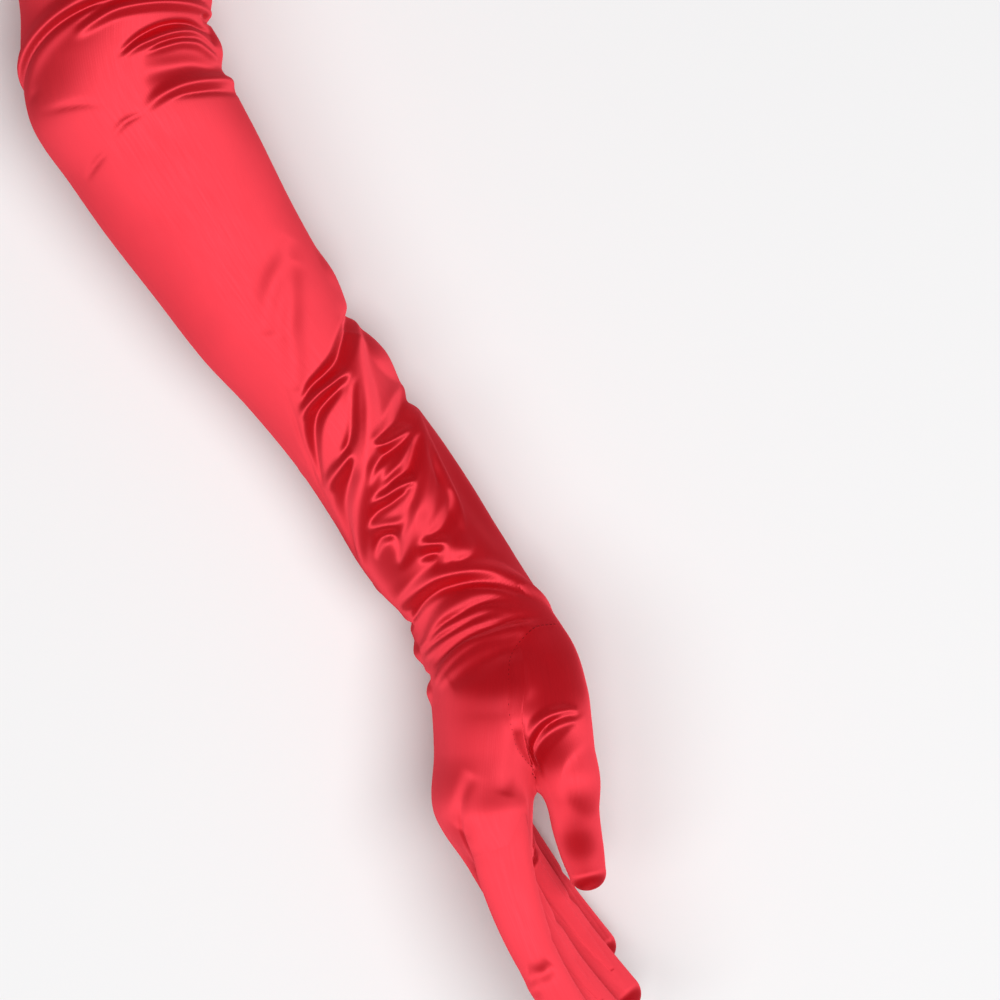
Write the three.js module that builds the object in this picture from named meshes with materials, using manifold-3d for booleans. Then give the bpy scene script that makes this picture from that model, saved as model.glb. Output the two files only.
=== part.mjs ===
// Long satin evening glove for the right arm, bent at the elbow, with the fingers together.
// Millimetres, +X along the forearm towards the fingers, +Y to the inside of the elbow,
// +Z up on the thumb side. The origin is the centre of the arm opening.
import * as THREE from 'three';
import { mergeVertices } from 'three/addons/utils/BufferGeometryUtils.js';
import Module from 'manifold-3d';

// Driving dimensions
const CLOTH = 1.2; // thickness of the satin wall
const GAP = 0.3; // clearance between sewn pieces
const HEM_DEPTH = 14; // length of the turned hem
const HEM_PROUD = 0.8; // how far the doubled cloth of the hem stands out
const ELBOW_CUT = 121; // station where the upper sleeve meets the forearm sleeve
const WRIST_CUT = 354; // station where the forearm sleeve meets the hand
const HAND_END = 466; // station of the finger roots
const FINGER_ROOT_X = 438; // plane where the fingers leave the hand
const RING_STEP = 8.6; // spacing of the rings along the arm
const ARM_SIDES = 24; // points around the sleeve and hand
const FINGER_SIDES = 12; // points around each finger
const FINGER_RINGS = 7; // rings along each finger before its round tip
const THUMB_SIDES = 14; // points around the thumb
const FORK_WIDTH = 8.4; // width of the strips between the fingers
const FORK_BACK = 6; // how far a strip reaches back past the finger roots
const FORK_TIP = 14; // how far a strip stops short of the fingertip
const FORK_RINGS = 5; // rings along each leg of a strip
const MEAN_RADIUS = 30; // turns angles on the sleeve into lengths
const LARGEST_RELIEF = 5; // limit of the folds' height and depth
const FOLD_SAMPLES = 9; // points along a fold where its distance is taken

const SATIN_RED = 0xd8283a;

function table(columns, rows) {
  return rows.map((row) => Object.fromEntries(columns.map((name, i) => [name, row[i]])));
}

// Sections of the arm and hand, square to the arm. The heading is the way the arm points
// in plan, in degrees, and square is 2 for an ellipse and more for a boxier outline.
const armSections = table(
  ['station', 'x', 'y', 'z', 'heading', 'halfWidth', 'halfDepth', 'square'],
  [
    [0, 0, 0, 0, -28, 41, 41, 2.0],
    [45, 40, -21, -0.5, -28, 39, 40.5, 2.0],
    [85, 75.9, -39.1, -1, -29, 37.7, 40, 2.0],
    [104, 91, -50, -1.5, -21, 37.8, 39.5, 2.0],
    [121, 107, -56.5, -2.5, -14, 39, 38.5, 2.0],
    [142, 128, -58.2, -4, -6, 37, 37, 2.0],
    [164, 150, -59.5, -6, -2, 35.5, 35, 2.0],
    [194, 180, -61, -8, -1, 32.5, 33, 2.0],
    [224, 210, -61.8, -10, 0, 30.2, 31, 2.0],
    [249, 235, -61, -11.5, 0, 27.4, 29.5, 2.0],
    [279, 265, -60, -13, 0, 26, 28, 2.0],
    [304, 290, -60, -14, 0, 26.5, 27, 2.0],
    [324, 310, -61, -14.5, -1, 27, 26.5, 2.0],
    [339, 325, -61.3, -15, -2, 26.3, 26, 2.0],
    [354, 340, -60.8, -15, -7, 25, 26, 2.1],
    [371, 357, -63, -12.5, -20, 26, 28.5, 2.2],
    [393, 376.6, -72.2, -7, -32, 23.5, 34, 2.4],
    [420, 398.3, -88.8, -3, -33, 20.3, 38, 2.5],
    [443, 416, -103.5, -2, -24, 19, 39, 2.6],
    [466, 438, -108, -2, 0, 12.4, 37.5, 2.4],
  ],
);

// Folds of the sleeve. Each runs from a start through a middle to an end, by station and by
// angle: 0 faces the inside of the elbow, 90 up, 180 the outside and 270 down.
// Height is negative for a valley.
const folds = table(
  ['from', 'fromAngle', 'mid', 'midAngle', 'to', 'toAngle', 'width', 'height'],
  [
    // Elbow: the outer lap, the small ridge beside it and the folds that gather in the crook
    [106, 225, 93, 145, 85, 85, 5, 3.8],
    [108, 205, 101, 150, 90, 101, 4, -3.2],
    [95, 108, 90, 95, 86, 77, 3.5, 2],
    [92, -30, 95, 0, 98, 30, 6, 2.6],
    [110, 79, 102, 48, 103, -20, 4, -3.2],
    [110, 85, 106, 52, 110, -25, 4, 2.6],
    [109, 68, 112, 36, 124, -20, 4.5, 3],
    [131, 76, 130, 48, 136, -30, 4.5, 3.4],
    [132, 84, 134, 50, 144, -20, 4, -2.8],
    // Forearm: the soft hollows above the twist, then the ridges of the twist
    [208, 50, 217, 75, 228, 95, 7, -2.2],
    [222, 65, 238, 87, 248, 96, 5, -2],
    [226, 0, 246, 37, 254, 72, 5.5, -3.6],
    [254, 72, 258, 96, 262, 112, 4, -2.6],
    [262, 114, 260, 85, 258, 52, 4, 2.8],
    [247, 15, 272, 67, 286, 88, 4.5, 3.8],
    [286, 88, 307, 120, 334, 182, 4.5, 3.8],
    [286, 90, 289, 115, 293, 142, 4, 2.4],
    [289, 85, 290, 60, 293, 38, 4, 2.6],
    [292, 50, 301, 83, 303, 108, 4, 2],
    [306, 112, 307, 92, 308, 66, 4, 2.4],
    [314, 128, 320, 110, 320, 90, 4, 2],
    [282, -5, 304, 51, 320, 80, 4.5, 3.4],
    [320, 80, 331, 104, 338, 135, 4.5, 3],
    [296, 15, 318, 43, 339, 62, 4.5, 3],
    [331, 102, 334, 82, 337, 55, 4.5, 2.6],
    [246, 112, 266, 126, 292, 154, 4, -2.4],
    [259, 58, 263, 98, 277, 130, 4.5, -3.2],
    [260, 5, 274, 34, 285, 76, 5, -3.2],
    // Underside: the same twist carried round below
    [338, 185, 322, 235, 300, 290, 5, 2.6],
    [300, 200, 284, 250, 262, 310, 5, 2.4],
    [318, 215, 303, 260, 284, 320, 5, -2.2],
    // Wrist: rings of cloth pushed up by the bent wrist
    [354, 165, 349, 112, 350, 78, 4.5, 3.4],
    [350, 78, 357, 45, 371, 10, 4.5, 3.2],
    [374, 160, 358, 104, 361, 50, 4, 2.6],
    [378, 172, 367, 108, 366, 58, 4, 2.6],
    [389, 145, 375, 92, 377, 20, 4, 2.4],
    [395, 142, 384, 108, 378, 68, 4, 1.8],
    [352, 195, 348, 255, 352, 320, 5, 2.4],
    [366, 200, 362, 255, 366, 310, 5, 2],
  ],
);

// Each finger's centre line runs from its root inside the hand through its bend to its tip.
// The root is wider in plan, where it leaves the knuckles, than it is up and down.
const fingers = table(
  ['name', 'rootX', 'rootY', 'rootZ', 'bendX', 'bendY', 'bendZ', 'tipX', 'tipY', 'tipZ',
    'rootWidth', 'rootRadius', 'tipRadius'],
  [
    ['index', 425, -104, 27.5, 457, -114.5, 27.2, 512, -119.5, 24.5, 11.2, 9.5, 8.1],
    ['middle', 425, -111.5, 7.6, 462, -114, 7.5, 522, -110, 6.6, 11.4, 9.6, 8.3],
    ['ring', 423, -108.5, -12, 458, -106.5, -11.9, 515, -101, -11, 11, 9.1, 8],
    ['little', 420, -104, -30.3, 448, -102.5, -30.1, 495, -98, -27.6, 10, 8.4, 7.3],
  ],
);

// Sections of the thumb, from inside the wrist side of the hand to where its tip rounds off.
const thumbSections = table(
  ['station', 'x', 'y', 'z', 'heading', 'halfWidth', 'halfDepth', 'square'],
  [
    [-14, 366, -50, 8, -30, 8, 9, 2.0],
    [0, 379.5, -47.2, 13, -36, 12.4, 14, 2.0],
    [14, 391.5, -55, 17.5, -34, 15.6, 17, 2.0],
    [29, 405, -62.5, 18.5, -30, 16, 17, 2.0],
    [45, 420.5, -66.5, 17, -27, 11.6, 13, 2.0],
    [59, 433.5, -72.5, 16, -27, 10.2, 11.4, 2.0],
    [75, 447.5, -79.5, 15, -26, 9.7, 10.6, 2.0],
    [86, 457.2, -84.2, 14.2, -26, 9, 9.8, 2.0],
  ],
);
const THUMB_TIP = 96; // station of the very tip

function sectionAt(rows, station) {
  let low = 0;
  while (low < rows.length - 2 && station > rows[low + 1].station) low += 1;
  const span = rows[low + 1].station - rows[low].station;
  const t = (station - rows[low].station) / span;
  const section = {};
  for (const name of Object.keys(rows[0])) {
    const slope = (i) => {
      const before = rows[Math.max(i - 1, 0)];
      const after = rows[Math.min(i + 1, rows.length - 1)];
      return ((after[name] - before[name]) / (after.station - before.station)) * span;
    };
    const start = rows[low][name];
    const change = rows[low + 1][name] - start;
    const easeOut = slope(low);
    const easeIn = slope(low + 1);
    section[name] = start + easeOut * t
      + (3 * change - 2 * easeOut - easeIn) * t * t
      + (easeOut + easeIn - 2 * change) * t * t * t;
  }
  return section;
}

const foldPaths = folds.map((fold) => {
  const path = [];
  for (let i = 0; i < FOLD_SAMPLES; i += 1) {
    const t = i / (FOLD_SAMPLES - 1);
    const start = (1 - t) * (1 - 2 * t);
    const middle = 4 * t * (1 - t);
    const end = t * (2 * t - 1);
    path.push({
      station: start * fold.from + middle * fold.mid + end * fold.to,
      angle: start * fold.fromAngle + middle * fold.midAngle + end * fold.toAngle,
      strength: Math.sin(Math.PI * (0.1 + 0.8 * t)),
    });
  }
  return { path, width: fold.width, height: fold.height };
});

function foldRelief(station, angle) {
  let relief = 0;
  for (const { path, width, height } of foldPaths) {
    let nearest = 0;
    for (const point of path) {
      const turn = ((((angle - point.angle) % 360) + 540) % 360) - 180;
      const around = THREE.MathUtils.degToRad(turn) * MEAN_RADIUS;
      const distance = Math.hypot(station - point.station, around) / width;
      nearest = Math.max(nearest, point.strength * Math.exp(-distance * distance));
    }
    relief += height * nearest;
  }
  return THREE.MathUtils.clamp(relief, -LARGEST_RELIEF, LARGEST_RELIEF);
}

// One ring of points round a section; grow is added on all sides.
function ring(section, sides, grow, reliefAt) {
  const points = [];
  const heading = THREE.MathUtils.degToRad(section.heading);
  const power = 2 / section.square;
  for (let i = 0; i < sides; i += 1) {
    const degrees = (360 * i) / sides;
    const cos = Math.cos(THREE.MathUtils.degToRad(degrees));
    const sin = Math.sin(THREE.MathUtils.degToRad(degrees));
    const outward = new THREE.Vector2(cos / section.halfWidth, sin / section.halfDepth);
    outward.normalize().multiplyScalar(reliefAt ? reliefAt(degrees) : 0);
    const across = Math.sign(cos) * Math.abs(cos) ** power * (section.halfWidth + grow) + outward.x;
    const up = Math.sign(sin) * Math.abs(sin) ** power * (section.halfDepth + grow) + outward.y;
    points.push(new THREE.Vector3(
      section.x - Math.sin(heading) * across,
      section.y + Math.cos(heading) * across,
      section.z + up,
    ));
  }
  return points;
}

// A skin through rings of equal size. It closes with a fan at each end, or joins its last
// ring to its first when it is a tube with a wall.
function skin(rings, joined) {
  const sides = rings[0].length;
  const positions = rings.flat().flatMap((point) => point.toArray());
  const indices = [];
  const spans = joined ? rings.length : rings.length - 1;
  for (let i = 0; i < spans; i += 1) {
    const here = i * sides;
    const next = ((i + 1) % rings.length) * sides;
    for (let k = 0; k < sides; k += 1) {
      const beside = (k + 1) % sides;
      indices.push(here + k, here + beside, next + beside);
      indices.push(here + k, next + beside, next + k);
    }
  }
  if (!joined) {
    [0, rings.length - 1].forEach((end, isLast) => {
      const centre = positions.length / 3;
      const middle = rings[end].reduce((sum, point) => sum.add(point), new THREE.Vector3());
      positions.push(...middle.divideScalar(sides).toArray());
      for (let k = 0; k < sides; k += 1) {
        const pair = [end * sides + k, end * sides + ((k + 1) % sides)];
        if (!isLast) pair.reverse();
        indices.push(centre, ...pair);
      }
    });
  }
  const geometry = new THREE.BufferGeometry();
  geometry.setAttribute('position', new THREE.Float32BufferAttribute(positions, 3));
  geometry.setIndex(indices);
  return facingOut(geometry);
}

function facingOut(geometry) {
  const at = geometry.attributes.position;
  const index = geometry.index.array;
  const corners = [0, 1, 2].map(() => new THREE.Vector3());
  let volume = 0;
  for (let i = 0; i < index.length; i += 3) {
    corners.forEach((corner, k) => corner.fromBufferAttribute(at, index[i + k]));
    volume += corners[0].dot(corners[1].clone().cross(corners[2]));
  }
  if (volume < 0) geometry.setIndex(Array.from(index).reverse());
  return geometry;
}

const library = await Module();
library.setup();

function solid(geometry) {
  const plain = geometry.clone();
  plain.deleteAttribute('normal');
  plain.deleteAttribute('uv');
  const merged = mergeVertices(plain);
  return new library.Manifold(new library.Mesh({
    numProp: 3,
    vertProperties: new Float32Array(merged.attributes.position.array),
    triVerts: new Uint32Array(merged.index.array),
  }));
}

function geometryOf(body) {
  const mesh = body.getMesh();
  const geometry = new THREE.BufferGeometry();
  geometry.setAttribute('position', new THREE.BufferAttribute(mesh.vertProperties, 3));
  geometry.setIndex(new THREE.BufferAttribute(mesh.triVerts, 1));
  return geometry;
}

function block(low, high) {
  const size = new THREE.Vector3().subVectors(high, low);
  const centre = new THREE.Vector3().addVectors(high, low).multiplyScalar(0.5);
  const geometry = new THREE.BoxGeometry(size.x, size.y, size.z);
  geometry.translate(centre.x, centre.y, centre.z);
  return solid(geometry);
}

function stations(from, to, step) {
  const count = Math.ceil((to - from) / step);
  return Array.from({ length: count + 1 }, (_, i) => from + ((to - from) * i) / count);
}

function armRing(station, grow) {
  return ring(sectionAt(armSections, station), ARM_SIDES, grow, (angle) => foldRelief(station, angle));
}

function armWall(from, to, step, proud) {
  const along = stations(from, to, step);
  const outside = along.map((station) => armRing(station, proud));
  const inside = along.map((station) => armRing(station, -CLOTH)).reverse();
  return skin([...outside, ...inside], true);
}

const hem = armWall(0, HEM_DEPTH, HEM_DEPTH / 2, HEM_PROUD);
const upperSleeve = armWall(HEM_DEPTH + GAP, ELBOW_CUT - GAP / 2, RING_STEP, 0);
const forearmSleeve = armWall(ELBOW_CUT + GAP / 2, WRIST_CUT - GAP / 2, RING_STEP, 0);

function handBody(from, to, grow) {
  return solid(skin(stations(from, to, RING_STEP).map((station) => armRing(station, grow)), false));
}

function fingerLine(finger) {
  return new THREE.CatmullRomCurve3([
    new THREE.Vector3(finger.rootX, finger.rootY, finger.rootZ),
    new THREE.Vector3(finger.bendX, finger.bendY, finger.bendZ),
    new THREE.Vector3(finger.tipX, finger.tipY, finger.tipZ),
  ]);
}

function fingerSection(finger, line, t, reach) {
  const centre = line.getPointAt(t);
  const ahead = line.getTangentAt(t);
  centre.addScaledVector(ahead, reach);
  return {
    x: centre.x,
    y: centre.y,
    z: centre.z,
    heading: THREE.MathUtils.radToDeg(Math.atan2(ahead.y, ahead.x)),
    halfWidth: THREE.MathUtils.lerp(finger.rootWidth, finger.tipRadius, Math.min(1, 1.6 * t)),
    halfDepth: THREE.MathUtils.lerp(finger.rootRadius, finger.tipRadius, t),
    square: 2,
  };
}

const tipAngles = [30, 55, 75].map((angle) => THREE.MathUtils.degToRad(angle));

// The finger tapers along its line, then its last radius of length rounds off.
function fingerBody(finger, grow) {
  const line = fingerLine(finger);
  const round = finger.tipRadius;
  const straight = 1 - round / line.getLength();
  const rings = [];
  for (let i = 0; i < FINGER_RINGS; i += 1) {
    const t = (straight * i) / (FINGER_RINGS - 1);
    rings.push(ring(fingerSection(finger, line, t, 0), FINGER_SIDES, grow));
  }
  for (const angle of tipAngles) {
    const reach = (round + grow) * Math.sin(angle);
    const section = fingerSection(finger, line, straight, reach);
    section.halfWidth = (section.halfWidth + grow) * Math.cos(angle);
    section.halfDepth = (section.halfDepth + grow) * Math.cos(angle);
    rings.push(ring(section, FINGER_SIDES, 0));
  }
  return solid(skin(rings, false));
}

// Half of a forked strip's path: a flat bar along the side of a finger that faces its
// neighbour. Facing is -1 for the side below and 1 for the side above.
function forkLeg(finger, facing, grow) {
  const line = fingerLine(finger);
  const length = line.getLength();
  const rings = [];
  for (let i = 0; i < FORK_RINGS; i += 1) {
    const t = (i / (FORK_RINGS - 1)) * (1 - (FORK_TIP - grow) / length);
    const section = fingerSection(finger, line, t, 0);
    const depth = section.halfDepth + GAP;
    const heading = THREE.MathUtils.degToRad(section.heading);
    const half = FORK_WIDTH / 2 + grow;
    const near = section.z - facing * grow;
    const far = section.z + facing * depth;
    const corners = [[-half, near], [half, near], [half, far], [-half, far]];
    rings.push(corners.map(([across, z]) => new THREE.Vector3(
      section.x - Math.sin(heading) * across,
      section.y + Math.cos(heading) * across,
      z,
    )));
  }
  return solid(skin(rings, false));
}

// The strip's path between two fingers, with the crotch where its two legs meet.
function forkPath(upper, lower, grow) {
  const low = Math.min(upper.rootY, lower.rootY) - FORK_WIDTH / 2 - grow;
  const high = Math.max(upper.rootY, lower.rootY) + FORK_WIDTH / 2 + grow;
  const crotch = block(
    new THREE.Vector3(FINGER_ROOT_X - FORK_BACK - grow, low - 2, lower.rootZ - grow),
    new THREE.Vector3(FINGER_ROOT_X + grow, high - 2, upper.rootZ + grow),
  );
  return crotch.add(forkLeg(upper, -1, grow)).add(forkLeg(lower, 1, grow));
}

function thumbBody(grow) {
  const last = thumbSections[thumbSections.length - 1];
  const rings = [thumbSections[0].station, ...stations(0, last.station, RING_STEP)]
    .map((station) => ring(sectionAt(thumbSections, station), THUMB_SIDES, grow));
  for (const angle of tipAngles) {
    const reach = (THUMB_TIP - last.station + grow) * Math.sin(angle);
    const heading = THREE.MathUtils.degToRad(last.heading);
    rings.push(ring({
      ...last,
      x: last.x + Math.cos(heading) * reach,
      y: last.y + Math.sin(heading) * reach,
      halfWidth: (last.halfWidth + grow) * Math.cos(angle),
      halfDepth: (last.halfDepth + grow) * Math.cos(angle),
    }, THUMB_SIDES, 0));
  }
  return solid(skin(rings, false));
}

const handOutside = handBody(WRIST_CUT + GAP / 2, HAND_END, 0);
const handInside = handBody(WRIST_CUT - RING_STEP, HAND_END - CLOTH, -CLOTH);
const fingerOutsides = fingers.map((finger) => fingerBody(finger, 0));
const fingerInsides = fingers.map((finger) => fingerBody(finger, -CLOTH));
const thumbOutside = thumbBody(0);
const thumbInside = thumbBody(-CLOTH);

const together = (bodies) => bodies.reduce((sum, body) => sum.add(body));
const handAndFingers = together([handOutside, ...fingerOutsides])
  .subtract(together([handInside, ...fingerInsides]));

const forkPairs = fingers.slice(1).map((lower, i) => [fingers[i], lower]);
const forkPaths = forkPairs.map(([upper, lower]) => forkPath(upper, lower, 0));
const forkClearance = together(forkPairs.map(([upper, lower]) => forkPath(upper, lower, GAP)));

const FAR = 400; // beyond every surface of the glove
const handSide = block(
  new THREE.Vector3(0, -FAR, -FAR),
  new THREE.Vector3(FINGER_ROOT_X - GAP / 2, FAR, FAR),
);
const fingerSide = block(
  new THREE.Vector3(FINGER_ROOT_X + GAP / 2, -FAR, -FAR),
  new THREE.Vector3(FINGER_ROOT_X + FAR, FAR, FAR),
);

const hand = handAndFingers.intersect(handSide).subtract(forkClearance).subtract(thumbInside);
const handClearance = handBody(WRIST_CUT - RING_STEP, HAND_END, GAP);
const thumb = thumbOutside.subtract(thumbInside).subtract(handClearance);
const forks = forkPaths.map((path) => handAndFingers.intersect(path));
const fingerPieces = fingers.map((finger, i) => fingerOutsides[i]
  .subtract(fingerInsides[i]).intersect(fingerSide).subtract(forkClearance));

const glove = new THREE.Group();

function addPiece(name, geometry, roughness) {
  const satin = new THREE.MeshStandardMaterial({ color: SATIN_RED, roughness, metalness: 0 });
  const piece = new THREE.Mesh(geometry, satin);
  piece.name = name;
  glove.add(piece);
}

const SATIN_ROUGHNESS = 0.38;
const KNIT_ROUGHNESS = 0.5;

addPiece('hem', hem, SATIN_ROUGHNESS);
addPiece('upper_sleeve', upperSleeve, SATIN_ROUGHNESS);
addPiece('forearm_sleeve', forearmSleeve, SATIN_ROUGHNESS);
addPiece('hand', geometryOf(hand), SATIN_ROUGHNESS);
addPiece('thumb', geometryOf(thumb), SATIN_ROUGHNESS);
fingers.forEach((finger, i) => {
  addPiece(`${finger.name}_finger`, geometryOf(fingerPieces[i]), SATIN_ROUGHNESS);
});
forkPairs.forEach(([upper, lower], i) => {
  addPiece(`fourchette_${upper.name}_${lower.name}`, geometryOf(forks[i]), KNIT_ROUGHNESS);
});

export default glove;
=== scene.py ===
import math
import bpy
import numpy as np
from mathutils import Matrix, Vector


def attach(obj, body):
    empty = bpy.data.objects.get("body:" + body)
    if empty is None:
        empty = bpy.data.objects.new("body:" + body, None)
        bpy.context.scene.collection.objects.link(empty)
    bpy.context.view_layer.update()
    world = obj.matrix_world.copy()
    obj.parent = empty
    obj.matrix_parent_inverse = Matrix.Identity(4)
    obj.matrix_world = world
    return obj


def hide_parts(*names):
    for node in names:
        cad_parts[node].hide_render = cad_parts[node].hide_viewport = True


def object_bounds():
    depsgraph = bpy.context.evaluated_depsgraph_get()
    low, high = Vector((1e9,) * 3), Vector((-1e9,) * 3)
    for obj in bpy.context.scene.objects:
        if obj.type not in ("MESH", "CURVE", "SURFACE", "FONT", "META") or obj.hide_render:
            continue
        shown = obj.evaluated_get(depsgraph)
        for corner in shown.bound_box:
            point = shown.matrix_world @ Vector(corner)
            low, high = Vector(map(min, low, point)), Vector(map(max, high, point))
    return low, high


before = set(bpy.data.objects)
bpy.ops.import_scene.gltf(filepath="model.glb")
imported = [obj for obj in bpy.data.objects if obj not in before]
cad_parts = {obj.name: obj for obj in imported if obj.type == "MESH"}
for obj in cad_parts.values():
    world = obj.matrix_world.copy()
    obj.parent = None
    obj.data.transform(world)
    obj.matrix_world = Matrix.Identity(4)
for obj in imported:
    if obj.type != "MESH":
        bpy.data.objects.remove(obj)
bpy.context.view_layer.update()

# View: straight down on the glove as it lies on its little-finger side, from far enough
# away that its height hardly changes its size, and turned so that the hand points down.
MM = 0.001
PICTURE_SIDE = 390 * MM
VIEW_CENTRE = Vector((321.5 * MM, -28.3 * MM, 0))
VIEW_TURN = math.radians(55)
VIEW_HEIGHT = 3.0
SENSOR = 36.0

view_data = bpy.data.cameras.new("view_from_above")
view_data.sensor_width = SENSOR
view_data.lens = SENSOR * VIEW_HEIGHT / PICTURE_SIDE
view_data.clip_end = 20
view = bpy.data.objects.new("view_from_above", view_data)
view.location = VIEW_CENTRE + Vector((0, 0, VIEW_HEIGHT))
view.rotation_euler = (0, 0, VIEW_TURN)
bpy.context.scene.collection.objects.link(view)
bpy.context.scene.camera = view


# Sleeve and hand: one tube of stretch satin from the hem to the finger roots. It is cut
# wide at the upper arm and narrow at the wrist, and sewn up along the underside. Worn, it
# laps over at the elbow, twists into ridges down the forearm and rucks up at the wrist.

# Each row is a section square to the arm: its station along the glove from the hem, where its
# middle lies, which way the arm heads there and its half sizes, in millimetres and degrees.
# Square is 2 for an oval, and more as the section grows boxy.
SECTION_COLUMNS = ("station", "x", "y", "z", "heading", "half_width", "half_depth", "square")
ARM_SECTIONS = [
    (0, 0, 0, 0, -28, 41, 41, 2),
    (45, 40, -21, -0.5, -28, 39, 40.5, 2),
    (85, 75.9, -39.1, -1, -29, 37.7, 40, 2),
    (104, 91, -50, -1.5, -21, 37.8, 39.5, 2),
    (121, 107, -56.5, -2.5, -14, 39, 38.5, 2),
    (142, 128, -58.2, -4, -6, 37, 37, 2),
    (164, 150, -59.5, -6, -2, 35.5, 35, 2),
    (194, 180, -61, -8, -1, 32.5, 33, 2),
    (224, 210, -61.8, -10, 0, 30.2, 31, 2),
    (249, 235, -61, -11.5, 0, 27.4, 29.5, 2),
    (279, 265, -60, -13, 0, 26, 28, 2),
    (304, 290, -60, -14, 0, 26.5, 27, 2),
    (324, 310, -61, -14.5, -1, 27, 26.5, 2),
    (339, 325, -61.3, -15, -2, 26.3, 26, 2),
    (354, 340, -60.8, -15, -7, 25, 26, 2.1),
    (371, 357, -63, -12, -20, 26, 29, 2.2),
    (393, 376.6, -72.2, -5, -32, 23.5, 36, 2.4),
    (406, 387.2, -80, -3.6, -34, 21.8, 37.4, 2.45),
    (420, 398.3, -88.8, -3, -33, 20.3, 38, 2.5),
    (443, 416, -101.9, -2.4, -24, 19.6, 38.4, 2.6),
    (466, 438, -106.6, -1.8, -8, 11.2, 34.6, 2.4),
]

# Each fold is (kind, width, height, route), and its route is a list of (station, angle) pairs,
# with 0 degrees at the inside of the elbow, 90 up, 180 at the outside and 270 below. A ridge
# stands up, a crease is a sharp groove and a dip is a soft one.
ELBOW_FOLDS = [
    ("ridge", 3.4, 2.0, [(116, 222), (109, 194), (104, 174), (99, 154), (94, 136), (89, 120), (85, 106),
                         (83, 90)]),
    ("crease", 1.7, 2.2, [(117, 210), (111, 188), (107, 170), (103, 156), (98, 140), (93, 123), (90, 110),
                          (88, 97), (86, 82), (86, 64)]),
    ("ridge", 2.2, 0.7, [(114, 166), (107, 151), (101, 138), (96, 122), (92, 107)]),
    ("crease", 1.9, 1.9, [(96, 112), (92, 101), (88, 88), (87, 70), (88, 45), (92, 12)]),
    ("ridge", 2.6, 1.8, [(99, 112), (95, 101), (91, 86), (90, 64), (92, 42), (97, 12), (100, -25)]),
    ("crease", 2.2, 2.2, [(98, 24), (102, 8), (103, -20)]),
    ("crease", 1.9, 2.3, [(110, 86), (107, 79), (104, 69), (102, 55), (103, 38), (107, 22), (111, 2)]),
    ("ridge", 1.8, 1.5, [(111, 84), (108, 75), (107, 65), (106, 50), (107, 36), (111, 24), (118, 8),
                         (122, -20)]),
    ("crease", 1.4, 1.3, [(111, 70), (109, 60), (109, 46), (112, 32)]),
    ("ridge", 1.9, 1.3, [(112, 72), (111, 58), (111, 45), (114, 32), (120, 20), (125, 4)]),
    ("ridge", 8.5, 2.6, [(112, -60), (114, -25), (116, 0), (116, 12)]),
    ("dip", 5.0, 1.9, [(119, 76), (121, 58), (123, 42), (127, 26), (128, 8), (128, -30)]),
    ("ridge", 2.8, 1.7, [(134, 84), (131, 74), (130, 64), (130, 54), (132, 38), (134, 22), (136, 5),
                         (137, -25), (134, -50)]),
    ("crease", 1.6, 0.8, [(133, 70), (134, 58), (137, 42), (142, 14), (143, -20)]),
    ("ridge", 4.0, 2.4, [(112, 232), (118, 262), (112, 300), (104, 322)]),
    ("dip", 3.0, 2.2, [(104, 240), (108, 270), (104, 305)]),
    ("ridge", 3.6, 2.0, [(128, 290), (132, 310), (130, 335)]),
]
PRESSED_LINES = [
    ("crease", 0.9, 0.5, [(137, 110), (134, 98), (134, 86)]),
    ("crease", 0.9, 0.5, [(145, 147), (142, 131), (140, 117)]),
    ("crease", 0.8, 0.35, [(119, 149), (120, 130), (122, 114), (126, 102)]),
    ("crease", 0.8, 0.35, [(114, 162), (112, 142)]),
]
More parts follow.
